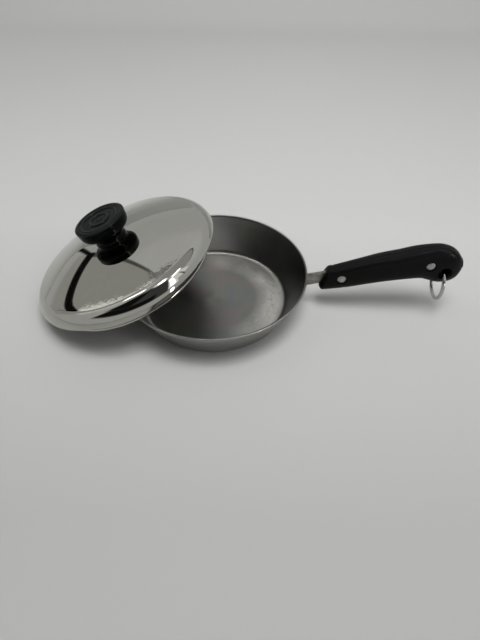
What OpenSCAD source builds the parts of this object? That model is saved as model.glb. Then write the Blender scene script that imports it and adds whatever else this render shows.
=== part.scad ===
// Small steel frying pan with a riveted two-piece side handle, a hanging ring and its lid,
// which leans with its skirt on the table and on the pan's rim.
// Origin: centre of the pan's base on the table. +X runs along the handle, +Z is up. Millimetres.

/* [Pan] */
// Radius of the rim, over the bead
rim_r = 89; // [80:0.5:100]
// Height of the rim above the table
pan_h = 39.5; // [34:0.5:55]
// How far the wall flares out from the vertical, in degrees
wall_flare = 25.3; // [15:0.1:30]
// Thickness of the wall
wall_t = 1.2; // [0.8:0.1:2]
// Thickness of the floor
floor_t = 2; // [1.2:0.1:4]
// Diameter of the rolled bead along the rim
bead_d = 2.2; // [1.6:0.1:3]
// How far the bead stands out from the wall
bead_step = 1; // [0.4:0.1:1.4]
// Outer radius of the bend between the base and the wall
base_bend_r = 8; // [4:0.5:12]

/* [Handle] */
// Height on the wall where the tang's axis meets it
tang_z = 29.4; // [24:0.1:31]
// Angle at which the handle rises, in degrees
handle_rise = 15; // [5:1:25]
// Height of the tang's strip
tang_w = 12; // [8:0.5:14]
// Thickness of the tang's strip
tang_t = 2.8; // [2:0.1:4]
// Length of the welded pad, round the wall
pad_w = 30; // [20:1:36]
// Height of the welded pad
pad_h = 14; // [10:0.5:15]
// Thickness of the welded pad
pad_t = 1.5; // [1:0.1:2.5]
// Bare length of tang between the wall and the grip
grip_gap = 17; // [12:0.1:30]
// Length of the grip
grip_len = 128; // [115:1:160]
// Reference height of the grip, which its side outline follows
grip_h = 28; // [24:0.5:34]
// Greatest thickness of the grip, both halves together
grip_t = 22; // [18:0.5:28]
// How far the top of the grip's near end lies behind its lower edge
grip_slant = 14; // [8:0.5:18]
// Radius of the rounding at the grip's near end
near_round = 4.4; // [1.5:0.1:6]
// Radius of the rounding at the grip's tail end
tail_round = 0.6; // [0.4:0.1:2]

/* [Rivets] */
// Diameter of a rivet's head
rivet_head_d = 8.3; // [7:0.1:9]
// Diameter of a rivet's shank
rivet_d = 5; // [3:0.1:5.5]
// Height of a rivet's head
rivet_head_h = 1.5; // [1:0.1:2]
// Depth of the recess that a rivet's head sits in
recess_depth = 1.4; // [1:0.1:2.5]
// Distance from the grip's near end to the first rivet
rivet_from_end = 20.5; // [18:0.5:30]
// Distance between the rivets
rivet_pitch = 78.5; // [60:0.5:80]
// Height of the rivets above the tang's axis
rivet_lift = -0.2; // [-1.5:0.1:1.5]

/* [Hanging ring] */
// Diameter of the ring's wire
wire_d = 3.3; // [2:0.1:4]
// Radius of the ring, at the middle of the wire
ring_r = 16; // [14:0.1:20]
// Diameter of the hole in the grip's tail
ring_hole_d = 10; // [9:0.1:11]
// Distance from the grip's tail end to the hole's centre
ring_hole_back = 16.4; // [14:0.1:20]
// Distance of the hole's centre below the tang's axis
ring_hole_drop = 12; // [9:0.5:14]
// Thickness of the grip at the flat lands round the hole
ring_land_t = 15.2; // [13:0.1:15.6]

/* [Lid] */
// How far the lid's rim reaches beyond the pan's
flange_over = 3; // [2:0.1:12]
// Radius of the fold along the lid's rim
hem_r = 1.3; // [1.1:0.1:2]
// Thickness of the lid's sheet
lid_t = 0.9; // [0.6:0.1:1]
// Clearance between the skirt's bead and the pan's wall when the lid is closed
lid_fit = 0.2; // [0.1:0.1:2]
// Depth of the skirt below the middle of the fold
skirt_h = 14; // [8:0.5:20]
// Radius of the rolled bead at the skirt's lower edge
skirt_bead_r = 1.4; // [1.2:0.1:2]
// How far the skirt's bead stands out from the skirt
skirt_bead_step = 0.8; // [0.4:0.1:1]
// Slope of the lid's side just above the fold, in degrees
edge_slope = 79; // [65:1:88]
// Radius of the shoulder between the lid's side and its crown
shoulder_r = 15.2; // [8:0.1:20]
// Height of the crown above the middle of the fold
crown_h = 26.8; // [24:0.1:40]
// Radius of the flat seat under the knob
seat_r = 15.5; // [15:0.5:20]
// Diameter of the hole for the knob's screw
lid_hole_d = 5.5; // [4.5:0.1:7]

/* [Knob] */
// Greatest radius of the knob
knob_r = 24.6; // [20:0.1:30]
// Height of the knob
knob_h = 21.3; // [18:0.1:30]
// Depth of the rings pressed into the knob's top
knob_ring_depth = 1.3; // [0.5:0.1:2]
// Radius of the threaded insert
insert_r = 4.5; // [4:0.1:5.5]
// Length of the threaded insert
insert_h = 14; // [10:0.5:18]
// Diameter of the screw's shank
screw_d = 5; // [4:0.1:5]
// How far the screw reaches into the insert
screw_reach = 10; // [6:0.5:10]
// Diameter of the screw's head
screw_head_d = 9.5; // [8:0.1:12]
// Height of the screw's head
screw_head_h = 3; // [2:0.1:4]
// Outer diameter of the washer
washer_d = 14; // [11:0.5:20]
// Thickness of the washer
washer_t = 1; // [0.6:0.1:1.6]

/* [How the lid leans] */
// Angle round the lid from its highest point to where it meets the rim, in degrees
lid_touch = 66.2; // [45:0.1:85]
// Distance of the lid's centre behind the line through the pan's centre
lid_side = 2.8; // [0:0.1:20]
// Turn of the leaning lid round the pan's centre, in degrees
lid_turn = 3.8; // [-20:0.1:20]

/* [Hidden] */
$fn = 96;

steel = [0.72, 0.72, 0.71];
dull_steel = [0.6, 0.6, 0.58];
bright_steel = [0.82, 0.82, 0.8];
phenolic = [0.07, 0.07, 0.075];
grip_black = [0.13, 0.13, 0.13];

// Clearances and other small sizes
cut_over = 1;
seat_clear = 0.1;
thread_clear = 0.05;
rest_gap = 0.3;
seam_chamfer = 0.4;
ring_hole_chamfer = 0.5;
shelf_bend_r = 1;
arc_steps = 8;
bead_steps = 20;
wire_steps = 32;

// A grip's section is a superellipse of this power
section_power = 3;
rib_count = 48;
section_steps = 14;
round_steps = 6;
rib_bias_share = 0.6;

// Side outline of the grip: place along it, then height, as shares of its length and height
grip_top_shares = [[0.109, 0.321], [0.303, 0.414], [0.466, 0.489], [0.585, 0.5], [0.7, 0.54],
                   [0.77, 0.54], [0.82, 0.53], [0.87, 0.49], [0.915, 0.395], [0.95, 0.27],
                   [0.975, 0.13], [0.99, 0], [1, -0.14]];
grip_low_shares = [[0, -0.436], [0.07, -0.461], [0.216, -0.482], [0.358, -0.464], [0.5, -0.468],
                   [0.637, -0.511], [0.716, -0.575], [0.767, -0.72], [0.819, -0.865],
                   [0.849, -0.91], [0.889, -0.93], [0.93, -0.895], [0.965, -0.785], [0.988, -0.62],
                   [1, -0.48]];
// Thickness of the grip along it
grip_thick_shares = [[0, 0.76], [0.3, 0.9], [0.57, 1], [0.75, 0.98], [0.86, 0.86], [0.93, 0.74],
                     [0.975, 0.56], [1, 0.36]];
// Outline of the knob: height, then radius
knob_shares = [[0, 0.62], [0.09, 0.605], [0.18, 0.618], [0.27, 0.665], [0.36, 0.775], [0.44, 0.88],
               [0.53, 0.943], [0.68, 0.975], [0.84, 0.99], [0.94, 1], [0.98, 0.985], [1, 0.945]];
// Rings in the knob's top: outer radius, inner radius, depth
knob_ring_shares = [[0.72, 0.4, 1], [0.335, 0, 0.85]];
knob_steps = 40;
ring_slant_share = 0.33;
// Length of each collar of the insert, as a share of the insert's
collar_share = 0.33;

// Smooth curve through a table of [x, y] rows
function slope_at(t, i) =
    let (a = max(i - 1, 0), b = min(i + 1, len(t) - 1)) (t[b][1] - t[a][1]) / (t[b][0] - t[a][0]);
function curve_at(t, x) =
    let (i = max(0, min(len(t) - 2, len([for (p = t) if (p[0] <= x) p]) - 1)),
         h = t[i + 1][0] - t[i][0],
         s = (x - t[i][0]) / h)
    t[i][1] * (2 * s^3 - 3 * s^2 + 1) + h * slope_at(t, i) * (s^3 - 2 * s^2 + s)
    + t[i + 1][1] * (3 * s^2 - 2 * s^3) + h * slope_at(t, i + 1) * (s^3 - s^2);

function arc(c, r, a, b, steps = arc_steps) = [for (i = [0 : steps]) c + r * ray(a + (b - a) * i / steps)];
function ray(a) = [cos(a), sin(a)];

// Pan: the wall's outer line goes through [wall_top_r, wall_top_z] at the flare angle
bead_r = bead_d / 2;
wall_top_z = pan_h - bead_d;
wall_top_r = rim_r - bead_step;
function wall_r(z) = wall_top_r - (wall_top_z - z) * tan(wall_flare);
inner_bend_r = base_bend_r - wall_t;

// Centre of a bend of radius r that meets height z and the wall's line moved in by d
function bend_centre(r, z, d) =
    [wall_r(z + r) - (d + r) / cos(wall_flare), z + r];

module pan_body() {
    color(steel) rotate_extrude() {
        polygon(concat(
            [[0, 0]],
            arc(bend_centre(base_bend_r, 0, 0), base_bend_r, -90, -wall_flare),
            [[wall_r(pan_h - bead_r), pan_h - bead_r]],
            [[wall_r(pan_h - bead_r) - wall_t / cos(wall_flare), pan_h - bead_r]],
            arc(bend_centre(inner_bend_r, floor_t, wall_t), inner_bend_r, -wall_flare, -90),
            [[0, floor_t]]));
        translate([rim_r - bead_r, pan_h - bead_r]) circle(r = bead_r);
    }
}

// Handle: u runs along the tang's axis from the wall, w at right angles to it and up
module at_handle() translate([wall_r(tang_z), 0, tang_z]) rotate([0, -handle_rise, 0]) children();
run_len = grip_len - tail_round;
rivets_u = [grip_gap + rivet_from_end, grip_gap + rivet_from_end + rivet_pitch];
ring_hole_u = grip_gap + grip_len - ring_hole_back;

function half_thick(u) = grip_t / 2 * curve_at(grip_thick_shares, (u - grip_gap) / run_len);

module handle_tang() {
    color(dull_steel) difference() {
        union() {
            at_handle() {
                translate([-tang_w, -tang_t / 2, -tang_w / 2])
                    cube([tang_w + rivets_u[1], tang_t, tang_w]);
                translate([rivets_u[1], 0, 0]) rotate([90, 0, 0])
                    cylinder(d = tang_w, h = tang_t, center = true);
            }
            intersection() {
                rotate_extrude() polygon([
                    [wall_r(tang_z - pad_h / 2), tang_z - pad_h / 2],
                    [wall_r(tang_z - pad_h / 2) + pad_t / cos(wall_flare), tang_z - pad_h / 2],
                    [wall_r(tang_z + pad_h / 2) + pad_t / cos(wall_flare), tang_z + pad_h / 2],
                    [wall_r(tang_z + pad_h / 2), tang_z + pad_h / 2]]);
                translate([0, -pad_w / 2, 0]) cube([rim_r, pad_w, pan_h]);
            }
        }
        rotate_extrude() polygon([[0, 0], [wall_r(0), 0], [wall_r(pan_h), pan_h], [0, pan_h]]);
        at_handle() rivet_holes(rivet_d / 2 + seat_clear);
    }
}

module rivet_holes(r) {
    for (u = rivets_u)
        translate([u, 0, rivet_lift]) rotate([90, 0, 0]) cylinder(r = r, h = 2 * grip_t, center = true);
}

// Half a section of the grip, from its top round the outside to its bottom. low and top are its
// ends in the handle's side plane, half its depth, in_by how far it is drawn in all round
function section(low, top, half, in_by) =
    let (mid = (low + top) / 2,
         reach = norm(top - low) / 2,
         up = (top - low) / norm(top - low),
         b = reach - in_by,
         d = half - in_by)
    concat(
        [section_point(mid, up, b - seam_chamfer, 0), section_point(mid, up, b, seam_chamfer)],
        [for (i = [1 : section_steps - 1]) let (a = 90 - 180 * i / section_steps)
            section_point(mid, up, b * sign(sin(a)) * abs(sin(a))^(2 / section_power),
                          max(seam_chamfer, d * cos(a)^(2 / section_power)))],
        [section_point(mid, up, -b, seam_chamfer), section_point(mid, up, seam_chamfer - b, 0)]);
function section_point(mid, up, w, y) = [mid[0] + up[0] * w, -y, mid[1] + up[1] * w];

function rib_place(i) = let (s = i / rib_count) s * (1 + rib_bias_share * (1 - s));
function low_point(s) = [grip_gap + run_len * s, grip_h * curve_at(grip_low_shares, s)];
function top_place(s) = s + grip_slant / run_len * (1 - s)^3;
function top_point(s) =
    [grip_gap + run_len * top_place(s), grip_h * curve_at(grip_top_shares, top_place(s))];
function section_at(s, shift, in_by) =
    section(low_point(s) + shift, top_point(s) + shift, half_thick(grip_gap + run_len * s), in_by);
near_dir = [low_point(0)[1] - top_point(0)[1], top_point(0)[0] - low_point(0)[0]]
    / norm(top_point(0) - low_point(0));

function grip_sections() = concat(
    [for (i = [0 : round_steps - 1]) let (a = 90 * i / round_steps)
        section_at(0, near_round * cos(a) * near_dir, near_round * (1 - sin(a)))],
    [for (i = [0 : rib_count]) section_at(rib_place(i), [0, 0], 0)],
    [for (i = [1 : round_steps]) let (a = 90 * i / round_steps)
        section_at(1, [tail_round * sin(a), 0], tail_round * (1 - cos(a)))]);

// Solid through a list of sections that have the same number of points
module loft(sections) {
    n = len(sections[0]);
    m = len(sections);
    polyhedron(
        points = [for (s = sections) each s],
        faces = concat(
            [[for (k = [0 : n - 1]) k]],
            [for (j = [0 : m - 2]) for (k = [0 : n - 1]) let (q = (k + 1) % n)
                each [[j * n + k, (j + 1) * n + k, (j + 1) * n + q],
                      [j * n + k, (j + 1) * n + q, j * n + q]]],
            [[for (k = [n - 1 : -1 : 0]) (m - 1) * n + k]]));
}

// The half of the grip on the -Y side of the tang
module grip_half() {
    difference() {
        loft(grip_sections());
        translate([0, -tang_t / 2, -tang_w / 2 - seat_clear])
            cube([rivets_u[1], tang_t, tang_w + 2 * seat_clear]);
        translate([rivets_u[1], 0, 0]) rotate([90, 0, 0])
            cylinder(r = tang_w / 2 + seat_clear, h = tang_t, center = true);
        rivet_holes(rivet_d / 2 + seat_clear);
        for (u = rivets_u)
            translate([u, -half_thick(u) + recess_depth, rivet_lift]) rotate([90, 0, 0])
                cylinder(r = rivet_head_d / 2 + recess_side, h = grip_t);
        translate([ring_hole_u, 0, -ring_hole_drop]) rotate([90, 0, 0]) {
            cylinder(d = ring_hole_d, h = 2 * grip_t, center = true);
            translate([0, 0, ring_land_t / 2]) cylinder(d = ring_hole_d + 2 * ring_land, h = grip_t);
            translate([0, 0, ring_land_t / 2 - ring_hole_chamfer])
                cylinder(r1 = ring_hole_d / 2, r2 = ring_hole_d / 2 + 2 * ring_hole_chamfer,
                         h = 2 * ring_hole_chamfer);
        }
    }
}
recess_side = 0.6;
ring_land = 1.6;

module front_handle_half() color(grip_black) at_handle() grip_half();
module rear_handle_half() color(grip_black) at_handle() mirror([0, 1, 0]) grip_half();

module handle_rivets() {
    dome_r = (rivet_head_d^2 / 4 + rivet_head_h^2) / (2 * rivet_head_h);
    dome_angle = asin(rivet_head_d / 2 / dome_r);
    color(bright_steel) at_handle() for (u = rivets_u) {
        seat = half_thick(u) - recess_depth;
        rim = [for (i = [0 : arc_steps]) let (a = 90 - dome_angle * (1 - i / arc_steps))
            [dome_r * cos(a), seat + rivet_head_h - dome_r + dome_r * sin(a)]];
        translate([u, 0, rivet_lift]) rotate([90, 0, 0]) rotate_extrude()
            polygon(concat([[rivet_d / 2, seat]], rim,
                           [for (i = [arc_steps : -1 : 0]) [rim[i][0], -rim[i][1]]],
                           [[rivet_d / 2, -seat]]));
    }
}

// The ring hangs on the lower edges of the hole's two mouths, and swings about the line
// through the middle of the wire there
hole_x = wall_r(tang_z) + ring_hole_u * cos(handle_rise) + ring_hole_drop * sin(handle_rise);
hole_z = tang_z + ring_hole_u * sin(handle_rise) - ring_hole_drop * cos(handle_rise);
mouth_y = ring_land_t / 2 - ring_hole_chamfer;
ring_z = hole_z - ring_hole_d / 2 - sqrt((ring_r - wire_d / 2 - rest_gap)^2 - mouth_y^2);
swing_z = ring_z + sqrt(ring_r^2 - mouth_y^2);

module hanging_ring() {
    color(bright_steel) translate([hole_x, 0, ring_z]) rotate([0, 90, 0])
        rotate_extrude() translate([ring_r, 0]) circle(d = wire_d, $fn = wire_steps);
}

// Lid: its own frame has the middle of its fold at height 0. Closed, its shelf lies on the rim
// and the skirt's bead stands lid_fit clear of the flared wall
flange_r = rim_r + flange_over;
closed_bead_z = pan_h + hem_r - skirt_h + skirt_bead_r;
skirt_r = wall_r(closed_bead_z) + skirt_bead_r - (wall_t + lid_fit + skirt_bead_r) / cos(wall_flare);
skirt_out_r = skirt_r - skirt_bead_step;

// The shoulder runs into the fold at edge_slope, and into the crown further in
hem_c = [flange_r - hem_r, 0];
shoulder_c = hem_c + (hem_r - shoulder_r) * ray(90 - edge_slope);
crown_r = (shoulder_c * shoulder_c - 2 * shoulder_c[1] * crown_h + crown_h^2 - shoulder_r^2)
    / (2 * (crown_h - shoulder_c[1] - shoulder_r));
crown_c = [0, crown_h - crown_r];
shoulder_angle = atan2(shoulder_c[1] - crown_c[1], shoulder_c[0]);
seat_angle = acos(seat_r / crown_r);
seat_h = crown_c[1] + crown_r * sin(seat_angle);

module lid_shell() {
    shelf_c = [skirt_out_r + shelf_bend_r, -hem_r - shelf_bend_r];
    bead_c = [skirt_r - skirt_bead_r, skirt_bead_r - skirt_h];
    color(bright_steel) at_lid() rotate_extrude() polygon(concat(
        [[lid_hole_d / 2, seat_h - lid_t], [lid_hole_d / 2, seat_h]],
        arc(crown_c, crown_r, seat_angle, shoulder_angle),
        arc(shoulder_c, shoulder_r, shoulder_angle, 90 - edge_slope),
        arc(hem_c, hem_r, 90 - edge_slope, -90),
        arc(shelf_c, shelf_bend_r, 90, 180),
        arc(bead_c, skirt_bead_r, acos((skirt_out_r - bead_c[0]) / skirt_bead_r),
            acos((skirt_out_r - lid_t - bead_c[0]) / skirt_bead_r) - 360, bead_steps),
        arc(shelf_c, shelf_bend_r + lid_t, 180, 90),
        arc(hem_c, hem_r - lid_t, -90, 90 - edge_slope),
        arc(shoulder_c, shoulder_r - lid_t, 90 - edge_slope, shoulder_angle),
        arc(crown_c, crown_r - lid_t, shoulder_angle, seat_angle)));
}

// The middle line of the skirt's bead touches down on the table, and crosses the middle line of
// the pan's bead at the angle lid_touch from its highest point, one bead beside the other
lid_ring_r = skirt_r - skirt_bead_r;
pan_ring_r = rim_r - bead_r;
beads_apart = bead_r + skirt_bead_r + rest_gap;
function lean(lift) =
    asin((pan_h - bead_r + lift - rest_gap - skirt_bead_r) / (lid_ring_r * (1 + cos(lid_touch))));
cross_y = lid_side - lid_ring_r * sin(lid_touch);
cross_x = -sqrt(pan_ring_r^2 - cross_y^2);
function crossing(angle) =
    (sin(lid_touch) * cos(angle) * cross_x + cos(lid_touch) * cross_y) / pan_ring_r;
function lift_for(angle) =
    beads_apart * norm([crossing(angle), sin(lid_touch) * sin(angle)]) / abs(crossing(angle));
lid_lean = lean(lift_for(lean(beads_apart)));
lid_low = [cross_x - lid_ring_r * cos(lid_lean) * cos(lid_touch), lid_side,
           rest_gap + skirt_bead_r + lid_ring_r * sin(lid_lean)];
lid_axis = [-sin(lid_lean), 0, cos(lid_lean)];

module at_lid() rotate([0, 0, -lid_turn])
    translate(lid_low + (skirt_h - skirt_bead_r) * lid_axis) rotate([0, -lid_lean, 0]) children();

// What is turned about the lid's axis, with its foot on the knob's seat
module at_seat() at_lid() translate([0, 0, seat_h]) children();

module lid_knob() {
    side = [for (i = [0 : knob_steps]) let (s = i / knob_steps)
        [knob_r * curve_at(knob_shares, s), knob_h * s]];
    color(phenolic) at_seat() difference() {
        rotate_extrude() polygon(concat([[0, 0]], side, [[0, knob_h]]));
        for (ring = knob_ring_shares) translate([0, 0, knob_h]) rotate_extrude() knob_ring(ring);
        insert_shape();
    }
}

// Section of one pressed ring, with sloping sides
module knob_ring(ring) {
    depth = knob_ring_depth * ring[2];
    outer = knob_r * ring[0];
    inner = knob_r * ring[1];
    slant = min(depth, (outer - inner) * ring_slant_share);
    bottom_in = inner > 0 ? inner + slant : 0;
    polygon([[inner, 0], [inner, cut_over], [outer, cut_over], [outer, 0],
             [outer - slant, -depth], [bottom_in, -depth]]);
}

// The insert's neck lets the knob's moulding grip it
module insert_shape() {
    collar = insert_h * collar_share;
    cylinder(r = insert_r, h = collar);
    cylinder(r = insert_r - insert_neck, h = insert_h);
    translate([0, 0, insert_h - collar]) cylinder(r = insert_r, h = collar);
}
insert_neck = 0.7;
insert_roof = 2;

module knob_insert() {
    color("goldenrod") at_seat() difference() {
        insert_shape();
        translate([0, 0, -cut_over])
            cylinder(r = screw_d / 2 + thread_clear, h = insert_h - insert_roof + cut_over);
    }
}

module knob_screw() {
    head_top = -lid_t - washer_t;
    dome_r = (screw_head_d^2 / 4 + screw_head_h^2) / (2 * screw_head_h);
    dome_angle = asin(screw_head_d / 2 / dome_r);
    color(bright_steel) at_seat() rotate_extrude() polygon(concat(
        [[0, screw_reach], [screw_d / 2, screw_reach], [screw_d / 2, head_top]],
        [for (i = [0 : arc_steps]) let (a = dome_angle * (1 - i / arc_steps))
            [dome_r * sin(a), head_top - screw_head_h + dome_r - dome_r * cos(a)]]));
}

module knob_washer() {
    color(dull_steel) at_seat() translate([0, 0, -lid_t - washer_t]) difference() {
        cylinder(d = washer_d, h = washer_t);
        translate([0, 0, -cut_over]) cylinder(r = screw_d / 2 + seat_clear, h = washer_t + 2 * cut_over);
    }
}

pan_body();
handle_tang();
front_handle_half();
rear_handle_half();
handle_rivets();
hanging_ring();
lid_shell();
lid_knob();
knob_insert();
knob_screw();
knob_washer();
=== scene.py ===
"""Looks for the small steel frying pan with its leaning lid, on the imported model.

The pan, lid, knob, ring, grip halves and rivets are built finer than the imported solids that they
stand for, from the same sizes: in millimetres in a frame of the part's own (table, lid, handle or
ring), which frame_at leads to its place in metres. The tang, insert, screw and washer keep theirs.
"""

import math

import bmesh
import bpy
from mathutils import Euler, Matrix, Vector


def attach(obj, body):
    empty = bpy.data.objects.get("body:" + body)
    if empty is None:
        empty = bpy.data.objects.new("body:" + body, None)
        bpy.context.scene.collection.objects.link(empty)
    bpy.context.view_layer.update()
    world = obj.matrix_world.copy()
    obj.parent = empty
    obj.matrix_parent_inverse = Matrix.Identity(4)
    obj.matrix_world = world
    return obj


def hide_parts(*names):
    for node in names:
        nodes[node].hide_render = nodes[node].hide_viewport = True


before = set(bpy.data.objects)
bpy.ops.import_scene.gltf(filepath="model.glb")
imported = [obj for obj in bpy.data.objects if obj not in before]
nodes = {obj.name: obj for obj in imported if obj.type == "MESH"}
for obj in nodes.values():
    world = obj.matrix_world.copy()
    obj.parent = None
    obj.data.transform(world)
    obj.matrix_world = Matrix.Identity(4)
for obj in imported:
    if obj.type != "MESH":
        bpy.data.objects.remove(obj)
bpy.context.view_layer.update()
scene = bpy.context.scene

# Places in metres and turns about X, Y and Z, as the solids have them. The lid's place is the
# centre of its fold, and the handle's is where its axis leaves the wall
LID_CENTRE = (-0.086397, 0.008545, 0.041784)
LID_TURN = (0.0, math.radians(-20.544), math.radians(-3.8))
HANDLE_FOOT = (0.084266, 0.0, 0.0294)
HANDLE_TURN = (0.0, math.radians(-15.0), 0.0)
RING_CENTRE = (0.21159, 0.0, 0.033969)
RING_TURN = (0.0, math.radians(90.0), 0.0)

# Sizes in millimetres, as the solids have them. Pan:
RIM_R = 89.0
PAN_H = 39.5
WALL_T = 1.2
FLOOR_T = 2.0
BEAD_R = 1.1
BEND_R = 8.0
FLARE = math.radians(25.3)
WALL_TOP = (88.0, 37.3)

# Lid
FLANGE_OVER = 3.0
HEM_R = 1.3
LID_T = 0.9
LID_FIT = 0.2
LID_HOLE_R = 2.75
SEAT_R = 15.5
SHOULDER_R = 15.2
CROWN_H = 26.8
EDGE_SLOPE = 79.0
SKIRT_H = 14.0
SKIRT_BEAD_R = 1.4
SKIRT_BEAD_STEP = 0.8
SHELF_BEND_R = 1.0

# Knob: its side by shares of its height and radius, and the rings pressed into its top, from the
# outside in, as (radius, depth, rounding)
KNOB_R = 24.6
KNOB_H = 21.3
KNOB_SIDE = [(0, 0.62), (0.09, 0.605), (0.18, 0.618), (0.27, 0.665), (0.36, 0.775), (0.44, 0.88),
             (0.53, 0.943), (0.68, 0.975), (0.84, 0.99), (0.94, 1), (0.98, 0.985), (1, 0.945)]
KNOB_TOP = [(20.6, 0.0, 0.25), (20.35, 0.45, 0.15), (19.6, 0.45, 0.15), (19.35, 0.0, 0.25),
            (17.7, 0.0, 0.3), (16.4, 1.3, 0.4), (11.1, 1.3, 0.4), (9.84, 0.0, 0.3),
            (8.24, 0.0, 0.3), (7.1, 1.1, 0.4), (3.4, 1.1, 0.3), (2.9, 0.75, 0.2), (0.0, 0.75, 0.0)]

# Hanging ring
RING_R = 16.0
WIRE_R = 1.65

# Grip, along the handle's axis (u), and its upper and lower line and thickness by shares of its
# length and its greatest height or thickness
GRIP_GAP = 17.0
GRIP_LEN = 128.0
GRIP_H = 28.0
GRIP_T = 22.0
GRIP_SLANT = 14.0
NEAR_ROUND = 4.4
TAIL_ROUND = 0.6
RUN = GRIP_LEN - TAIL_ROUND
SEAM_CHAMFER = 0.4
SECTION_POWER = 3
RIB_BIAS = 0.6
GRIP_TOP = [(0.109, 0.321), (0.303, 0.414), (0.466, 0.489), (0.585, 0.5), (0.7, 0.54), (0.77, 0.54),
            (0.82, 0.53), (0.87, 0.49), (0.915, 0.395), (0.95, 0.27), (0.975, 0.13), (0.99, 0),
            (1, -0.14)]
GRIP_LOW = [(0, -0.436), (0.07, -0.461), (0.216, -0.482), (0.358, -0.464), (0.5, -0.468),
            (0.637, -0.511), (0.716, -0.575), (0.767, -0.72), (0.819, -0.865), (0.849, -0.91),
            (0.889, -0.93), (0.93, -0.895), (0.965, -0.785), (0.988, -0.62), (1, -0.48)]
GRIP_THICK = [(0, 0.76), (0.3, 0.9), (0.57, 1), (0.75, 0.98), (0.86, 0.86), (0.93, 0.74),
              (0.975, 0.56), (1, 0.36)]

# What is cut into the grip: the tang's slot, the rivets' recesses and the ring's hole
TANG_W = 12.0
TANG_T = 2.8
SEAT_CLEAR = 0.1
RIVETS_U = (GRIP_GAP + 20.5, GRIP_GAP + 99.0)
RIVET_LIFT = -0.2
RIVET_R = 2.5
RIVET_HEAD_R = 4.15
RIVET_HEAD_H = 1.5
RECESS_DEPTH = 1.4
RECESS_SIDE = 0.6
HOLE = (GRIP_GAP + GRIP_LEN - 16.4, -12.0)
HOLE_R = 5.0
HOLE_CHAMFER = 0.5
LAND_Y = 7.6
LAND_W = 1.6
CUT_OVER = 1.0
OUTSIDE = 16.0

# A point nearer to its axis than this lies on it
ON_AXIS = 1e-6


def socket_name(key):
    """base_color to Base Color."""
    return key.replace("_", " ").title().replace("Ior", "IOR")


class Tree:
    """A node tree, and the few steps that it is built from."""

    def __init__(self, tree):
        self.tree = tree

    def put(self, node, inputs):
        for key, value in inputs.items():
            socket = node.inputs[key]
            if isinstance(value, bpy.types.NodeSocket):
                self.tree.links.new(value, socket)
            else:
                socket.default_value = value
        return node

    def add(self, kind, inputs=None, **settings):
        node = self.tree.nodes.new(kind)
        for key, value in settings.items():
            setattr(node, key, value)
        return self.put(node, inputs or {})

    def maths(self, operation, *values):
        return self.add("ShaderNodeMath", dict(enumerate(values)), operation=operation).outputs[0]

    def chain(self, operation, first, *others):
        for other in others:
            first = self.maths(operation, first, other)
        return first

    def times(self, *values):
        return self.chain("MULTIPLY", *values)

    def plus(self, *values):
        return self.chain("ADD", *values)

    def most(self, *values):
        return self.chain("MAXIMUM", *values)

    def minus(self, value, other):
        return self.maths("SUBTRACT", value, other)

    def over(self, value, other):
        return self.maths("DIVIDE", value, other)

    def split(self, vector):
        return self.add("ShaderNodeSeparateXYZ", {0: vector}).outputs

    def join(self, *parts):
        return self.add("ShaderNodeCombineXYZ", dict(enumerate(parts))).outputs[0]

    def span(self, value, low, high, to_low=0.0, to_high=1.0):
        """Leads low..high to to_low..to_high, and stays there outside."""
        inputs = {0: value, 1: low, 2: high, 3: to_low, 4: to_high}
        return self.add("ShaderNodeMapRange", inputs).outputs[0]

    def band(self, value, low, high, soft):
        """1 between low and high, falling to 0 over soft on both sides."""
        return self.times(self.span(value, low - soft, low),
                          self.span(value, high, high + soft, 1.0, 0.0))

    def noise(self, place, scale, detail=2.0, rough=0.5, distortion=0.0):
        inputs = {"Vector": place, "Scale": scale, "Detail": detail, "Roughness": rough,
                  "Distortion": distortion}
        return self.add("ShaderNodeTexNoise", inputs).outputs[0]

    def streaks(self, parts, scales, detail=3.0, rough=0.6, distortion=0.0):
        """Noise with a scale of its own for each coordinate."""
        scaled = self.join(*(self.times(part, scale) for part, scale in zip(parts, scales)))
        return self.noise(scaled, 1.0, detail, rough, distortion)

    def ramp(self, value, stops):
        """Colour, or a grey, by value."""
        node = self.add("ShaderNodeValToRGB", {0: value})
        elements = node.color_ramp.elements
        elements.remove(elements[1])
        elements[0].position = stops[0][0]
        for at, _ in stops[1:]:
            elements.new(at)
        for element, (_, colour) in zip(elements, stops):
            element.color = (*colour, 1) if isinstance(colour, tuple) else (colour, colour, colour, 1)
        return node.outputs[0]

    def mix(self, share, below, above):
        """The colour above over the one below, by its share."""
        node = self.add("ShaderNodeMix", data_type="RGBA")
        for index, value in ((0, share), (6, below), (7, above)):
            if isinstance(value, bpy.types.NodeSocket):
                self.tree.links.new(value, node.inputs[index])
            else:
                node.inputs[index].default_value = value if index == 0 else (*value, 1)
        return node.outputs[2]


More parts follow.
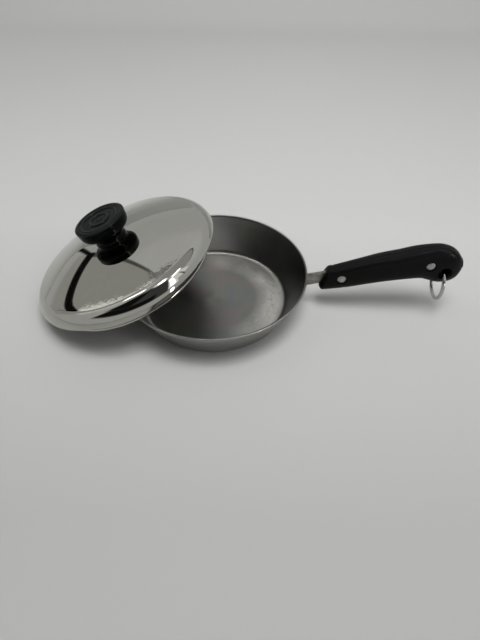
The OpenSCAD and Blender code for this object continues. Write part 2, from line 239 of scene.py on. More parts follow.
class Look(Tree):
    """A material, in metres."""

    def __init__(self, name, **sockets):
        self.mat = bpy.data.materials.new(name)
        self.mat.use_nodes = True
        super().__init__(self.mat.node_tree)
        self.shader = self.tree.nodes["Principled BSDF"]
        self.put(self.shader, {socket_name(key): value for key, value in sockets.items()})

    def place(self, centre=(0, 0, 0), turn=(0, 0, 0)):
        """Coordinates in a frame of a part's own."""
        coordinates = self.add("ShaderNodeTexCoord").outputs["Object"]
        inputs = {"Vector": coordinates, "Location": centre, "Rotation": turn}
        return self.add("ShaderNodeMapping", inputs, vector_type="TEXTURE").outputs[0]

    def round_place(self, place):
        """Radius, turn and height about the Z axis of a frame."""
        x, y, z = self.split(place)
        radius = self.maths("SQRT", self.plus(self.times(x, x), self.times(y, y)))
        return radius, self.maths("ARCTAN2", y, x), z

    def bump(self, height, distance, strength=1.0, below=None):
        """Relief, over another one where below is given."""
        inputs = {"Height": height, "Distance": distance, "Strength": strength}
        if below:
            inputs["Normal"] = below
        return self.add("ShaderNodeBump", inputs).outputs[0]

    def finish(self, **sockets):
        self.put(self.shader, {socket_name(key): value for key, value in sockets.items()})
        return self.mat


def frame_at(centre, turn):
    """Leads millimetres in a frame of a part's own to its place in metres."""
    return Matrix.Translation(centre) @ Euler(turn).to_matrix().to_4x4() @ Matrix.Scale(0.001, 4)


AT_TABLE = frame_at((0, 0, 0), (0, 0, 0))
AT_LID = frame_at(LID_CENTRE, LID_TURN)
AT_HANDLE = frame_at(HANDLE_FOOT, HANDLE_TURN)
AT_RING = frame_at(RING_CENTRE, RING_TURN)
Z_TO_SIDE = Matrix.Rotation(math.radians(90.0), 4, "X")


def arc(centre, radius, start, end, steps):
    """Points of (radius, height) on an arc, by degrees."""
    angles = (math.radians(start + (end - start) * k / steps) for k in range(steps + 1))
    return [(centre[0] + radius * math.cos(a), centre[1] + radius * math.sin(a)) for a in angles]


def eased(corners, steps=5):
    """Closed line through (radius, height, round), each corner rounded by its third number."""
    line = []
    for i, (x, y, ease) in enumerate(corners):
        here = Vector((x, y))
        if not ease:
            line.append((x, y))
            continue
        to_last = (Vector(corners[i - 1][:2]) - here).normalized()
        to_next = (Vector(corners[(i + 1) % len(corners)][:2]) - here).normalized()
        for k in range(steps + 1):
            t = k / steps
            point = here + ease * ((1 - t) ** 2 * to_last + t ** 2 * to_next)
            line.append((point.x, point.y))
    return line


def through(table, x):
    """Smooth curve through a table of (x, y) rows."""
    i = max(0, min(len(table) - 2, sum(1 for row in table if row[0] <= x) - 1))

    def slope(k):
        a, b = max(k - 1, 0), min(k + 1, len(table) - 1)
        return (table[b][1] - table[a][1]) / (table[b][0] - table[a][0])

    h = table[i + 1][0] - table[i][0]
    s = (x - table[i][0]) / h
    return (table[i][1] * (2 * s ** 3 - 3 * s ** 2 + 1) + h * slope(i) * (s ** 3 - 2 * s ** 2 + s)
            + table[i + 1][1] * (3 * s ** 2 - 2 * s ** 3) + h * slope(i + 1) * (s ** 3 - s ** 2))


class Shape:
    """Points and faces of one piece, collected in its place."""

    def __init__(self):
        self.points = []
        self.faces = []

    def turned(self, outline, place, count):
        """A closed outline of (radius, height), turned about the Z axis of a frame."""
        rows = []
        for radius, height in outline:
            first = len(self.points)
            if radius < ON_AXIS:
                self.points.append(place @ Vector((0.0, 0.0, height)))
                rows.append([first] * count)
                continue
            for k in range(count):
                angle = 2 * math.pi * k / count
                point = Vector((radius * math.cos(angle), radius * math.sin(angle), height))
                self.points.append(place @ point)
            rows.append(list(range(first, first + count)))
        for here, after in zip(rows, rows[1:] + rows[:1]):
            if here[0] == here[1] and after[0] == after[1]:
                continue
            for k in range(count):
                q = (k + 1) % count
                corners = (here[k], here[q], after[q], after[k])
                self.faces.append(tuple(dict.fromkeys(corners)))

    def lofted(self, sections, place):
        """A closed solid through sections that have the same number of points."""
        count = len(sections[0])
        first = len(self.points)
        self.points += [place @ Vector(point) for section in sections for point in section]
        for j in range(len(sections) - 1):
            for k in range(count):
                q = (k + 1) % count
                row = first + j * count
                self.faces.append((row + k, row + count + k, row + count + q, row + q))
        last = first + (len(sections) - 1) * count
        self.faces.append(tuple(range(first, first + count)))
        self.faces.append(tuple(range(last + count - 1, last - 1, -1)))

    def make(self, name, sharp=32.0):
        """The object."""
        mesh = bpy.data.meshes.new(name)
        mesh.from_pydata(self.points, [], self.faces)
        work = bmesh.new()
        work.from_mesh(mesh)
        bmesh.ops.recalc_face_normals(work, faces=work.faces)
        work.to_mesh(mesh)
        work.free()
        piece = bpy.data.objects.new(name, mesh)
        scene.collection.objects.link(piece)
        soften(piece, sharp)
        return piece


def soften(piece, sharp):
    """Smooth shading, with the edges that turn by more than sharp degrees kept crisp."""
    piece.data.shade_smooth()
    piece.data.set_sharp_from_angle(angle=math.radians(sharp))


def cut(piece, cutters, sharp):
    """Cuts the cutters out of the piece, and removes them."""
    for cutter in cutters:
        step = piece.modifiers.new("cut", "BOOLEAN")
        step.operation = "DIFFERENCE"
        step.solver = "EXACT"
        step.object = cutter
    shaped = piece.evaluated_get(bpy.context.evaluated_depsgraph_get())
    mesh = bpy.data.meshes.new_from_object(shaped)
    piece.modifiers.clear()
    piece.data = mesh
    for cutter in cutters:
        bpy.data.objects.remove(cutter)
    soften(piece, sharp)


def wall_r(z):
    """Outer radius of the pan's wall at a height."""
    return WALL_TOP[0] - (WALL_TOP[1] - z) * math.tan(FLARE)


def pan_shape():
    """Spun pan: flat base, soft bend, flared wall and a rolled bead."""
    bead = Vector((RIM_R - BEAD_R, PAN_H - BEAD_R))
    along = Vector((math.sin(FLARE), math.cos(FLARE)))
    across = Vector((math.cos(FLARE), -math.sin(FLARE)))

    def crossing(inset):
        """Where the wall's line, moved in by inset, meets the bead from below, in degrees on it."""
        off = (bead - Vector(WALL_TOP)).dot(across) + inset
        point = -across * off - along * math.sqrt(BEAD_R ** 2 - off ** 2)
        return math.degrees(math.atan2(point.y, point.x))

    def bend(radius, height, inset):
        """Centre of the bend between a flat at a height and the wall's line, moved in by inset."""
        return (wall_r(height + radius) - (inset + radius) / math.cos(FLARE), height + radius)

    outer = bend(BEND_R, 0.0, 0.0)
    inner = bend(BEND_R - WALL_T, FLOOR_T, WALL_T)
    flare = math.degrees(FLARE)
    start, end = crossing(0.0), crossing(WALL_T)
    # Rings of points on the flats keep their long faces even
    before_bend = 0.4
    line = [(0, 0), (20, 0), (outer[0] - before_bend, 0)]
    line += arc(outer, BEND_R, -90, -flare, steps=16)
    line += arc(bead, BEAD_R, start, end + 360 if end < start else end, steps=26)
    line += arc(inner, BEND_R - WALL_T, -flare, -90, steps=20)
    line += [(inner[0] - before_bend, FLOOR_T), (45, FLOOR_T), (20, FLOOR_T), (0, FLOOR_T)]
    shape = Shape()
    shape.turned(line, AT_TABLE, count=176)
    return shape.make("pan_skin", sharp=40.0)


def lid_lines():
    """Centres and radii of the lid's arcs, and where they join, in degrees."""
    out = math.radians(90 - EDGE_SLOPE)
    hem = (RIM_R + FLANGE_OVER - HEM_R, 0.0)
    shoulder = (hem[0] + (HEM_R - SHOULDER_R) * math.cos(out), (HEM_R - SHOULDER_R) * math.sin(out))
    radius = (shoulder[0] ** 2 + shoulder[1] ** 2 - 2 * shoulder[1] * CROWN_H + CROWN_H ** 2
              - SHOULDER_R ** 2) / (2 * (CROWN_H - shoulder[1] - SHOULDER_R))
    crown = (0.0, CROWN_H - radius)
    join = math.degrees(math.atan2(shoulder[1] - crown[1], shoulder[0]))
    seat = math.degrees(math.acos(SEAT_R / radius))
    return hem, shoulder, crown, radius, join, seat


def lid_shape():
    """Pressed dome with a folded rim, a shelf under it and a skirt with a rolled bead.

    Returns it with the height of the knob's flat seat.
    """
    hem, shoulder, crown, radius, join, seat = lid_lines()
    seat_h = crown[1] + radius * math.sin(math.radians(seat))
    closed_z = PAN_H + HEM_R - SKIRT_H + SKIRT_BEAD_R
    skirt_r = wall_r(closed_z) + SKIRT_BEAD_R - (WALL_T + LID_FIT + SKIRT_BEAD_R) / math.cos(FLARE)
    skirt_out = skirt_r - SKIRT_BEAD_STEP
    shelf = (skirt_out + SHELF_BEND_R, -HEM_R - SHELF_BEND_R)
    bead = (skirt_r - SKIRT_BEAD_R, SKIRT_BEAD_R - SKIRT_H)
    edge = 90 - EDGE_SLOPE
    turn_out = math.degrees(math.acos((skirt_out - bead[0]) / SKIRT_BEAD_R))
    turn_in = math.degrees(math.acos((skirt_out - LID_T - bead[0]) / SKIRT_BEAD_R)) - 360
    before_crown = 0.05
    line = [(LID_HOLE_R, seat_h - LID_T), (LID_HOLE_R, seat_h), (SEAT_R - before_crown, seat_h)]
    line += arc(crown, radius, seat, join, steps=44)
    line += arc(shoulder, SHOULDER_R, join, edge, steps=30)
    line += arc(hem, HEM_R, edge, -90, steps=18)
    line += arc(shelf, SHELF_BEND_R, 90, 180, steps=10)
    line += arc(bead, SKIRT_BEAD_R, turn_out, turn_in, steps=28)
    line += arc(shelf, SHELF_BEND_R + LID_T, 180, 90, steps=10)
    line += arc(hem, HEM_R - LID_T, -90, edge, steps=10)
    line += arc(shoulder, SHOULDER_R - LID_T, edge, join, steps=18)
    line += arc(crown, radius - LID_T, join, seat, steps=30)
    shape = Shape()
    shape.turned(line[::-1], AT_LID, count=200)
    return shape.make("lid_skin", sharp=35.0), seat_h


def knob_shape(seat_h):
    """Moulded knob with a waist, and rings pressed into its top."""
    steps = 60
    side = [(KNOB_R * through(KNOB_SIDE, k / steps), KNOB_H * k / steps, 0) for k in range(steps + 1)]
    top = [(radius, KNOB_H - depth, ease) for radius, depth, ease in KNOB_TOP]
    line = [(0, 0)] + eased(side + top + [(0, 0, 0)])[:-1]
    shape = Shape()
    shape.turned(line, AT_LID @ Matrix.Translation((0, 0, seat_h)), count=144)
    return shape.make("knob_skin", sharp=40.0)


def ring_shape():
    """Ring of round wire."""
    steps = 24
    wire = arc((RING_R, 0.0), WIRE_R, 0, 360 - 360 / steps, steps - 1)
    shape = Shape()
    shape.turned(wire, AT_RING, count=112)
    return shape.make("ring_skin")


def half_thick(u):
    """Half the grip's thickness at a place along the handle's axis."""
    return GRIP_T / 2 * through(GRIP_THICK, (u - GRIP_GAP) / RUN)


def grip_section(low, top, half, inset):
    """Half a section of the grip, from its top round the outside to its bottom."""
    middle, reach, up = (low + top) / 2, (top - low).length / 2, (top - low).normalized()
    tall, deep = reach - inset, half - inset
    steps = 36
    power = 2 / SECTION_POWER
    across = [(tall - SEAM_CHAMFER, 0.0), (tall, SEAM_CHAMFER)]
    for k in range(1, steps):
        angle = math.pi / 2 - math.pi * k / steps
        w = math.copysign(abs(math.sin(angle)) ** power, math.sin(angle))
        across.append((tall * w, max(SEAM_CHAMFER, deep * math.cos(angle) ** power)))
    across += [(-tall, SEAM_CHAMFER), (SEAM_CHAMFER - tall, 0.0)]
    return [(middle.x + up.x * w, -depth, middle.y + up.y * w) for w, depth in across]


def grip_sections():
    """Half sections from the rounded near end to the tail. s is the share of the grip's run."""
    def ends(s):
        place = s + GRIP_SLANT / RUN * (1 - s) ** 3
        return (Vector((GRIP_GAP + RUN * s, GRIP_H * through(GRIP_LOW, s))),
                Vector((GRIP_GAP + RUN * place, GRIP_H * through(GRIP_TOP, place))))

    def at(s, shift, inset):
        low, top = ends(s)
        return grip_section(low + shift, top + shift, half_thick(GRIP_GAP + RUN * s), inset)

    near_steps, run_steps, tail_steps = 10, 140, 5
    low, top = ends(0.0)
    near = Vector((low.y - top.y, top.x - low.x)).normalized()
    rows = []
    for k in range(near_steps):
        a = math.radians(90.0 * k / near_steps)
        rows.append(at(0.0, near * NEAR_ROUND * math.cos(a), NEAR_ROUND * (1 - math.sin(a))))
    for k in range(run_steps + 1):
        s = k / run_steps
        rows.append(at(s * (1 + RIB_BIAS * (1 - s)), Vector((0.0, 0.0)), 0.0))
    for k in range(1, tail_steps + 1):
        a = math.radians(90.0 * k / tail_steps)
        rows.append(at(1.0, Vector((TAIL_ROUND * math.sin(a), 0.0)), TAIL_ROUND * (1 - math.cos(a))))
    return rows


def grip_shape(name, side):
    """One half of the grip. side is 1 for the half towards -Y, and -1 for its mirror image."""
    place = AT_HANDLE @ Matrix.Diagonal((1, side, 1, 1))
    body = Shape()
    body.lofted(grip_sections(), place)
    piece = body.make(name)
    cutters = []

    def bore(u, w, outline, count=48):
        cutter = Shape()
        cutter.turned(outline, place @ Matrix.Translation((u, 0.0, w)) @ Z_TO_SIDE, count)
        cutters.append(cutter.make("cutter"))

    slot_w, slot_t = TANG_W / 2 + SEAT_CLEAR, TANG_T / 2
    recess_r = RIVET_HEAD_R + RECESS_SIDE
    land_r = HOLE_R + LAND_W
    bore(RIVETS_U[1], 0.0, [(0, -slot_t), (slot_w, -slot_t), (slot_w, slot_t), (0, slot_t)])
    for u in RIVETS_U:
        seat = half_thick(u) - RECESS_DEPTH
        recess = [(0, seat, 0), (recess_r, seat, 0.3), (recess_r, OUTSIDE, 0), (0, OUTSIDE, 0)]
        bore(u, RIVET_LIFT, eased(recess))
    bore(*HOLE, [(0, -2 * CUT_OVER), (HOLE_R, -2 * CUT_OVER), (HOLE_R, LAND_Y - HOLE_CHAMFER),
                 (HOLE_R + HOLE_CHAMFER, LAND_Y), (land_r, LAND_Y), (land_r, OUTSIDE), (0, OUTSIDE)],
         count=64)
    across = ((-slot_t, -slot_w), (CUT_OVER, -slot_w), (CUT_OVER, slot_w), (-slot_t, slot_w))
    slot = Shape()
    slot.lofted([[(u, y, w) for y, w in across] for u in (0.0, RIVETS_U[1])], place)
    cutters.append(slot.make("cutter"))
    cut(piece, cutters, sharp=32.0)
    return piece


def rivet_shape():
    """Both rivets: a shank and two low domed heads each."""
    shape = Shape()
    dome = (RIVET_HEAD_R ** 2 + RIVET_HEAD_H ** 2) / (2 * RIVET_HEAD_H)
    reach = math.degrees(math.asin(RIVET_HEAD_R / dome))
    edge_in, edge_up = 0.15, 0.12
    for u in RIVETS_U:
        seat = half_thick(u) - RECESS_DEPTH
        top = seat + RIVET_HEAD_H
        edge = [(RIVET_HEAD_R - edge_in, seat), (RIVET_HEAD_R, seat + edge_up)]
        head = edge + arc((0, top - dome), dome, 90 - reach, 90, steps=12)[1:-1] + [(0, top)]
        line = [(RIVET_R, seat)] + head + [(r, -z) for r, z in head[::-1]] + [(RIVET_R, -seat)]
        place = AT_HANDLE @ Matrix.Translation((u, 0.0, RIVET_LIFT)) @ Z_TO_SIDE
        shape.turned(line, place, count=48)
    return shape.make("rivet_skin", sharp=40.0)


def dress(piece, node, body, mat):
    """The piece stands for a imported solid, with its material."""
    piece.data.materials.clear()
    piece.data.materials.append(mat)
    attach(piece, body)
    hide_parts(node)


def wear(node, mat):
    """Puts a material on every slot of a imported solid."""
    data = nodes[node].data
    if not data.materials:
        data.materials.append(mat)
    for index in range(len(data.materials)):
        data.materials[index] = mat


def pan_steel():
    """Lathe-turned steel. The floor shows wear, with the heat's faint colours, stains and scours, and
    a paler crescent that is partly painted highlight. The wall's inside has painted shade towards the
    handle.
    """
    look = Look("pan_steel", metallic=1.0, anisotropic=0.55)
    place = look.place()
    radius, turn, height = look.round_place(place)
    x, y, _ = look.split(place)

    # Where each part of the pan fades in or out, by radius or height in metres
    floor_end, floor_top = (0.061, 0.069), (0.0012, 0.0018)
    crescent_in, crescent_out = (0.040, 0.054), (0.064, 0.069)
    wall_inside, wall_foot, bead_foot = (0.0695, 0.0699), (0.0022, 0.005), (0.0368, 0.0378)

    def towards(east, north):
        """How far a place lies to one side of the pan, from -1 to 1."""
        along = look.plus(look.times(x, east), look.times(y, north))
        return look.over(along, look.most(radius, 0.01))

    across = look.plus(radius, look.times(height, 1.3))
    rings = look.streaks((across, turn), (2600.0, 1.6))
    broad = look.streaks((across, turn), (320.0, 0.8), rough=0.55)
    scour = look.streaks((radius, turn), (1300.0, 7.0), 2.0, 0.5, 0.6)
    cloud = look.noise(place, 26.0, 4.0, 0.6, 0.4)
    stain = look.noise(place, 150.0, 6.0, 0.7, 0.8)
    on_floor = look.times(look.span(radius, *floor_end, 1.0, 0.0), look.span(height, *floor_top))
    tint = look.ramp(look.noise(place, 30.0, 2.0, 0.5, 0.7),
                     [(0.30, (0.212, 0.223, 0.234)), (0.42, (0.219, 0.238, 0.216)),
                      (0.50, (0.244, 0.238, 0.221)), (0.58, (0.266, 0.229, 0.232)),
                      (0.70, (0.240, 0.235, 0.223))])
    plain = look.ramp(cloud, [(0.3, (0.325, 0.322, 0.310)), (0.7, (0.385, 0.382, 0.365))])
    colour = look.mix(look.times(on_floor, 0.85), plain, tint)
    # A paler crescent of the floor on the handle's side: partly scoured wear, and partly a painted
    # highlight for the bright reflection near the floor's edge
    wear_and_painted_highlight = look.times(look.span(towards(0.95, 0.30), 0.0, 0.7), look.span(radius, *crescent_in),
                          look.span(radius, *crescent_out, 1.0, 0.0),
                          look.span(cloud, 0.35, 0.6, 0.45, 1.0))
    spots = look.times(look.span(stain, 0.56, 0.66, 0.0, 0.6), look.span(wear_and_painted_highlight, 0.2, 0.7))
    scours = look.times(look.span(scour, 0.60, 0.70, 0.0, 0.6), wear_and_painted_highlight)
    # The inside of the wall is painted darker towards the handle, as painted shade for the
    # dark reflection that it shows there. lean is the radius where a line with the wall's slope
    # meets the table
    lean = look.minus(radius, look.times(height, math.tan(FLARE)))
    inside = look.times(look.span(lean, *wall_inside, 1.0, 0.0), look.span(height, *wall_foot))
    painted_dark_reflection = look.times(inside, look.span(towards(0.92, -0.38), 0.52, 0.92, 0.0, 0.78))
    bead = look.span(height, *bead_foot, 0.0, 0.25)
    # Among the stains and scours: the crescent's painted highlight, and the wall's painted shade
    for share, above in (
        (look.times(wear_and_painted_highlight, 0.9), (0.67, 0.66, 0.62)),
        (spots, (0.25, 0.225, 0.18)),
        (scours, (0.80, 0.79, 0.75)),
        (painted_dark_reflection, (0.05, 0.05, 0.047)),
        (bead, (0.20, 0.20, 0.195)),
    ):
        colour = look.mix(share, colour, above)
    # Metal smoother than about 0.27 is denoised as a mirror, so patches of it would show as marks
    rough = look.plus(look.span(broad, 0.3, 0.7, 0.285, 0.32), look.span(cloud, 0.3, 0.7, 0.0, 0.03))
    round_marks = look.add("ShaderNodeTangent", direction_type="RADIAL", axis="Z").outputs[0]
    return look.finish(base_color=colour, roughness=rough, normal=look.bump(rings, 0.0000005),
                       tangent=round_marks)


def lid_steel():
    """Mirror-polished steel with faint polishing marks, smears and small dents near its shoulder."""
    look = Look("lid_steel", metallic=1.0)
    place = look.place(LID_CENTRE, LID_TURN)
    radius, turn, _ = look.round_place(place)
    smear = look.noise(place, 18.0, 5.0, 0.62, 1.0)
    marks = look.streaks((radius, turn), (900.0, 6.0))
    waves = look.noise(place, 13.0, 2.0, 0.4)
    dents = look.noise(place, 210.0, 3.0, 0.6, 0.3)
    near_in, near_out = (0.066, 0.077), (0.082, 0.086)
    near_edge = look.times(look.span(radius, *near_in), look.span(radius, *near_out, 1.0, 0.0),
                           look.span(look.noise(place, 24.0, 2.0, 0.5), 0.45, 0.6, 0.15, 1.0))
    colour = look.ramp(smear, [(0.3, (0.460, 0.457, 0.418)), (0.7, (0.500, 0.497, 0.457))])
    rough = look.plus(look.span(smear, 0.35, 0.75, 0.015, 0.06),
                      look.span(marks, 0.4, 0.8, 0.0, 0.015))
    relief = look.bump(waves, 0.00012, 0.35)
    relief = look.bump(dents, 0.00012, near_edge, relief)
    return look.finish(base_color=colour, roughness=rough, normal=relief)


def ring_steel():
    """Bright wire, a little clouded."""
    look = Look("ring_steel", metallic=1.0)
    place = look.place()
    grain = look.noise(place, 900.0, 3.0, 0.6)
    cloud = look.noise(place, 120.0, 3.0, 0.5)
    colour = look.ramp(cloud, [(0.3, (0.36, 0.36, 0.35)), (0.7, (0.48, 0.48, 0.47))])
    return look.finish(base_color=colour, roughness=look.span(cloud, 0.3, 0.7, 0.10, 0.20),
                       normal=look.bump(grain, 0.00002, 0.6))


def tang_steel():
    """Unpolished strip with dull, mottled patches."""
    look = Look("tang_steel", metallic=1.0)
    place = look.place(HANDLE_FOOT, HANDLE_TURN)
    patch = look.noise(place, 260.0, 5.0, 0.7, 0.6)
    lines = look.streaks(look.split(place), (90.0, 2600.0, 2600.0))
    colour = look.ramp(patch, [(0.32, (0.15, 0.145, 0.125)), (0.5, (0.26, 0.255, 0.235)),
                               (0.68, (0.34, 0.335, 0.315))])
    relief = look.plus(patch, look.times(lines, 0.5))
    return look.finish(base_color=colour, roughness=look.span(patch, 0.3, 0.7, 0.52, 0.36),
                       normal=look.bump(relief, 0.00006, 0.7))


def grip_plastic():
    """Moulded black phenolic, rubbed to a satin, with fine handling marks, and its top painted
    lighter as a highlight from the light above.
    """
    look = Look("grip_plastic", specular_ior_level=0.10)
    place = look.place(HANDLE_FOOT, HANDLE_TURN)
    x, y, z = look.split(place)
    mottle = look.noise(place, 70.0, 4.0, 0.6)
    grain = look.noise(place, 1500.0, 2.0, 0.5)
    strokes = look.streaks((x, y, z), (60.0, 700.0, 700.0), distortion=0.3)
    colour = look.ramp(mottle, [(0.3, (0.0006, 0.0006, 0.0007)), (0.7, (0.0016, 0.0016, 0.0017))])
    # Painted highlight: the top is mixed lighter, for the light that falls on it from above
    colour = look.mix(look.span(z, 0.002, 0.014, 0.0, 0.8), colour, (0.0062, 0.0064, 0.0064))
    colour = look.mix(look.span(strokes, 0.62, 0.80, 0.0, 0.3), colour, (0.013, 0.013, 0.0135))
    rough = look.plus(look.span(mottle, 0.3, 0.7, 0.27, 0.36),
                      look.span(strokes, 0.4, 0.8, -0.03, 0.06))
    relief = look.plus(grain, look.times(strokes, 1.2))
    return look.finish(base_color=colour, roughness=rough, normal=look.bump(relief, 0.00003, 0.7))


# Tones of the knob's top, partly wear and partly painted light: lighter on the rings' edges as
# painted highlights, darker on the grooves' floors as painted shade. Columns: share of its radius,
# and how many times the plain black
KNOB_BLACK = (0.00086, 0.00104, 0.001)
KNOB_TOP_PAINTED_LIGHT_AND_WEAR = ((0.0, 4.0), (0.13, 1.5), (0.29, 1.5), (0.32, 14.0), (0.345, 14.0), (0.37, 5.0),
              (0.39, 13.0), (0.41, 13.0), (0.45, 0.8), (0.65, 2.2), (0.70, 15.0), (0.73, 15.0),
              (0.75, 5.0), (0.785, 12.0), (0.80, 0.3), (0.83, 0.3), (0.85, 12.0), (0.88, 5.0),
              (0.95, 4.5), (0.985, 13.0))


def knob_plastic():
    """Glossy black moulding, slightly hazed, with turning marks, and rings on its top painted lighter
    on their edges as highlights and darker in their grooves as shade, partly wear.
    """
    look = Look("knob_plastic", specular_ior_level=0.07)
    place = look.place(LID_CENTRE, LID_TURN)
    radius, turn, height = look.round_place(place)
    haze = look.noise(place, 110.0, 4.0, 0.6, 0.5)
    rings = look.streaks((radius, turn), (2600.0, 1.5), detail=2.0)
    on_top = look.span(height, 0.0462, 0.0470)
    colour = look.ramp(haze, [(0.3, (0.0010, 0.0012, 0.0011)), (0.7, (0.0022, 0.0026, 0.0025))])
    # Painted highlight and painted shade on the top's rings, partly wear, over the plain black
    painted_ring_light_and_wear = look.ramp(look.over(radius, KNOB_R / 1000),
                     [(at, tuple(part * tone for part in KNOB_BLACK)) for at, tone in KNOB_TOP_PAINTED_LIGHT_AND_WEAR])
    colour = look.mix(look.times(on_top, look.span(rings, 0.3, 0.7, 0.65, 1.0)), colour, painted_ring_light_and_wear)
    rough = look.plus(look.span(haze, 0.3, 0.7, 0.04, 0.08), look.times(on_top, 0.12))
    return look.finish(base_color=colour, roughness=rough,
                       normal=look.bump(rings, 0.000014, look.times(on_top, 0.8)))


def rivet_metal():
    """Dull aluminium."""
    look = Look("rivet_metal", metallic=1.0)
    patch = look.noise(look.place(HANDLE_FOOT, HANDLE_TURN), 600.0, 4.0, 0.65)
    colour = look.ramp(patch, [(0.3, (0.33, 0.33, 0.32)), (0.7, (0.45, 0.45, 0.435))])
    return look.finish(base_color=colour, roughness=look.span(patch, 0.3, 0.7, 0.36, 0.52),
                       normal=look.bump(patch, 0.00003, 0.6))


def plain_metal(name, light, dark, smooth, coarse):
    """Machined metal of the pieces inside the knob, between two colours and two roughnesses."""
    look = Look(name, metallic=1.0)
    patch = look.noise(look.place(LID_CENTRE, LID_TURN), 500.0, 4.0, 0.6)
    return look.finish(base_color=look.ramp(patch, [(0.3, dark), (0.7, light)]),
                       roughness=look.span(patch, 0.3, 0.7, smooth, coarse),
                       normal=look.bump(patch, 0.00003, 0.5))


def place_camera():
    """The camera, where the photograph was taken from."""
    camera = bpy.data.objects.new("camera", bpy.data.cameras.new("camera"))
    scene.collection.objects.link(camera)
    camera.location = (0.0432, -0.3449, 0.3417)
    camera.rotation_euler = (math.radians(42.88), 0.0, math.radians(3.0))
    camera.data.lens = 27.06
    camera.data.sensor_width = 36.0
    camera.data.clip_start = 0.01
    scene.camera = camera


def hang_lamp():
    """Soft light from above, in front and to the right."""
    lamp = bpy.data.objects.new("softbox", bpy.data.lights.new("softbox", "AREA"))
    scene.collection.objects.link(lamp)
    lamp.data.shape = "RECTANGLE"
    lamp.data.size = 0.60
    lamp.data.size_y = 0.42
    lamp.data.energy = 10.8
    lamp.location = (0.14, -0.24, 1.15)
    lamp.visible_glossy = False
    lamp.rotation_euler = (-lamp.location).to_track_quat("-Z", "Y").to_euler()


def paper():
    """Pale grey paper, with painted shade darkening it towards the front."""
    look = Look("paper", roughness=0.9)
    place = look.place()
    tone = look.ramp(look.noise(place, 1.3, 1.0),
                     [(0.3, (0.468, 0.473, 0.465)), (0.7, (0.490, 0.491, 0.485))])
    # Painted shade: the paper is mixed darker towards the front
    near = look.span(look.split(place)[1], -0.22, 0.12, 0.8, 0.0)
    return look.finish(base_color=look.mix(near, tone, (0.295, 0.295, 0.288)))


# The floor, in metres: its front edge, half its width, the fold up into the backdrop, and how far
# that goes on, straight, at the fold's last slope
FLOOR_FRONT = -1.6
FLOOR_HALF = 1.0
FOLD_Y = 0.83
FOLD_R = 0.14
FOLD_END = 75.0
FOLD_STEPS = 15
BACKDROP_H = 0.22


def lay_floor():
    """Pale floor that turns up into a backdrop behind the pan."""
    def fold(k):
        slope = math.radians(FOLD_END * k / FOLD_STEPS)
        return FOLD_Y + FOLD_R * math.sin(slope), FOLD_R - FOLD_R * math.cos(slope)

    lean = math.radians(FOLD_END)
    profile = [(FLOOR_FRONT, 0.0)] + [fold(k) for k in range(FOLD_STEPS + 1)]
    top_y, top_z = profile[-1]
    profile.append((top_y + BACKDROP_H * math.cos(lean), top_z + BACKDROP_H * math.sin(lean)))
    corners = [(side * FLOOR_HALF, y, z) for y, z in profile for side in (-1, 1)]
    faces = [(2 * k, 2 * k + 1, 2 * k + 3, 2 * k + 2) for k in range(len(profile) - 1)]
    mesh = bpy.data.meshes.new("floor")
    mesh.from_pydata(corners, [], faces)
    mesh.shade_smooth()
    floor = bpy.data.objects.new("floor", mesh)
    scene.collection.objects.link(floor)
    floor.data.materials.append(paper())


class Room(Tree):
    """The world's shader, by turn and level in degrees: turn 0 is +X, 90 is +Y, level 90 is up."""

    def __init__(self, name):
        world = bpy.data.worlds.new(name)
        scene.world = world
        world.use_nodes = True
        super().__init__(world.node_tree)
        east, north, up = self.split(self.add("ShaderNodeTexCoord").outputs["Generated"])
        self.level = self.times(self.maths("ARCSINE", up), 180.0 / math.pi)
        self.turn = self.times(self.maths("ARCTAN2", north, east), 180.0 / math.pi)

    def patch(self, turns, levels, soft, level_soft=None):
        """1 in a window of turns and levels, with soft edges."""
        return self.times(self.band(self.turn, *turns, soft),
                          self.band(self.level, *levels, level_soft or soft))

    def finish(self, seen, lit):
        """The camera sees one colour, and the other lights the scene and shows in the metal."""
        at_camera = self.add("ShaderNodeLightPath").outputs["Is Camera Ray"]
        inputs = {"Color": self.mix(at_camera, lit, seen), "Strength": 1.0}
        self.put(self.tree.nodes["Background"], inputs)


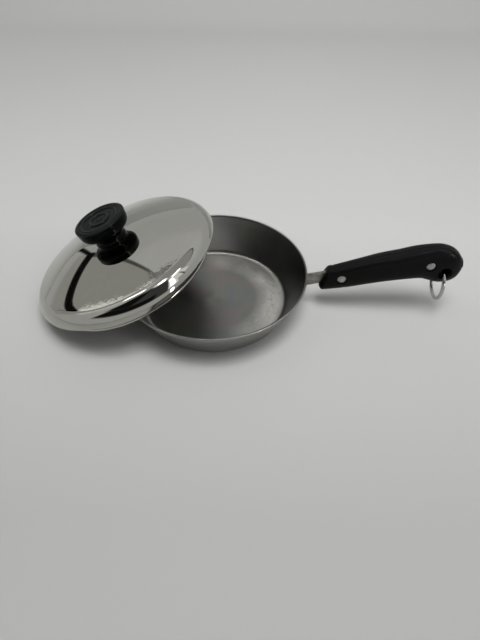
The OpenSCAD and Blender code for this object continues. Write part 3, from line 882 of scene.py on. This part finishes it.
def paint_room():
    """Pale walls with dark seams, a lit ceiling, a dark front, and a bright doorway and window."""
    room = Room("room")
    turn, level = room.turn, room.level
    walls = room.ramp(room.span(level, -10.0, 90.0),
                      [(0.0, 0.52), (0.12, 0.51), (0.3, 0.51), (0.45, 0.53), (0.50, 0.58),
                       (0.66, 0.62), (0.69, 0.40), (1.0, 0.40)])
    left_wall = room.patch((137.0, 170.0), (6.0, 56.0), 2.0, 3.0)
    front = room.patch((-148.0, -44.0), (25.0, 77.0), 5.0, 6.0)
    front_core = room.most(room.patch((-146.0, -66.0), (28.0, 41.0), 6.0),
                           room.patch((-156.0, -112.0), (46.0, 68.0), 8.0))
    seams = room.most(room.patch((136.1, 137.6), (12.0, 57.0), 0.8),
                      room.patch((20.0, 150.0), (57.3, 58.1), 4.0, 0.9))
    # A stripe that rises to the left, first straight and then in a curve, and a slanted one below
    past = room.most(room.minus(turn, 158.0), 0.0)
    rise = room.plus(room.times(room.minus(turn, 137.0), 0.2), room.times(past, past, 0.085))
    rising = room.times(room.band(turn, 136.2, 166.5, 0.8),
                        room.band(room.minus(level, rise), 10.5, 14.9, 0.7))
    slant = room.minus(turn, room.times(room.plus(level, 4.5), 0.31))
    slanted = room.times(room.band(slant, 131.0, 132.0, 0.7), room.band(level, -4.6, 12.0, 0.6))
    slope = room.minus(level, room.times(room.minus(turn, 131.5), 0.14))
    skirting = room.times(room.band(turn, 131.5, 145.0, 5.0), room.band(slope, -5.0, -4.3, 0.7))
    # The doorway on the left, bright along its near edge, which is curved, and the window opposite
    ahead = room.most(room.over(room.minus(turn, 125.0), 41.0), 0.0)
    higher = room.most(room.over(room.minus(level, 33.0), 27.0), 0.0)
    curve = room.plus(room.maths("POWER", ahead, 3.0), room.maths("POWER", higher, 3.0))
    edge = room.times(room.span(curve, 0.86, 0.98), room.span(curve, 1.15, 1.6, 1.0, 0.25))
    doorway = room.times(edge, room.patch((142.0, 182.0), (27.0, 70.0), 3.0))
    glow = room.most(doorway, room.times(room.patch((-28.0, -3.0), (46.0, 76.0), 6.0), 0.8),
                     room.patch((-165.0, -36.0), (80.0, 91.0), 3.0),
                     room.patch((-41.0, -27.0), (28.0, 70.0), 2.5))
    bright = room.most(room.patch((168.0, 174.0), (54.0, 66.0), 2.0),
                       room.patch((-38.0, -31.0), (34.0, 66.0), 2.0),
                       room.patch((-24.0, 10.0), (71.0, 74.5), 2.0),
                       room.patch((-140.0, -60.0), (83.0, 87.0), 2.0))
    brightest = room.most(room.patch((-130.0, -60.0), (83.5, 86.5), 1.5),
                          room.patch((-37.0, -33.5), (5.0, 17.0), 1.0))
    jamb = room.patch((-13.5, -12.0), (36.0, 60.0), 1.5)
    light = walls
    for share, above in (
        (left_wall, (0.40, 0.40, 0.385)),
        (front, (0.06, 0.06, 0.06)),
        (front_core, (0.008, 0.008, 0.008)),
        (room.times(seams, 0.9), (0.06, 0.06, 0.055)),
        (room.most(rising, slanted), (0.006, 0.006, 0.006)),
        (room.times(skirting, 0.8), (0.03, 0.03, 0.03)),
        (glow, (1.15, 1.15, 1.13)),
        (bright, (6.0, 6.0, 5.9)),
        (brightest, (18.0, 18.0, 17.6)),
        (jamb, (0.10, 0.10, 0.10)),
    ):
        light = room.mix(share, light, above)
    room.finish(seen=(0.50, 0.505, 0.50), lit=light)


dress(pan_shape(), "pan_body", "pan", pan_steel())
lid_piece, SEAT_H = lid_shape()
dress(lid_piece, "lid_shell", "lid", lid_steel())
dress(knob_shape(SEAT_H), "lid_knob", "lid", knob_plastic())
dress(ring_shape(), "hanging_ring", "ring", ring_steel())
grip = grip_plastic()
dress(grip_shape("grip_front", 1), "front_handle_half", "pan", grip)
dress(grip_shape("grip_rear", -1), "rear_handle_half", "pan", grip)
dress(rivet_shape(), "handle_rivets", "pan", rivet_metal())
wear("handle_tang", tang_steel())
wear("knob_insert", plain_metal("insert_brass", (0.72, 0.53, 0.24), (0.50, 0.35, 0.15), 0.25, 0.4))
wear("knob_screw", plain_metal("screw_steel", (0.60, 0.60, 0.58), (0.44, 0.44, 0.42), 0.25, 0.4))
wear("knob_washer", plain_metal("washer_steel", (0.50, 0.50, 0.48), (0.36, 0.36, 0.34), 0.35, 0.5))

place_camera()
lay_floor()
hang_lamp()
paint_room()
scene.view_settings.view_transform = "Standard"
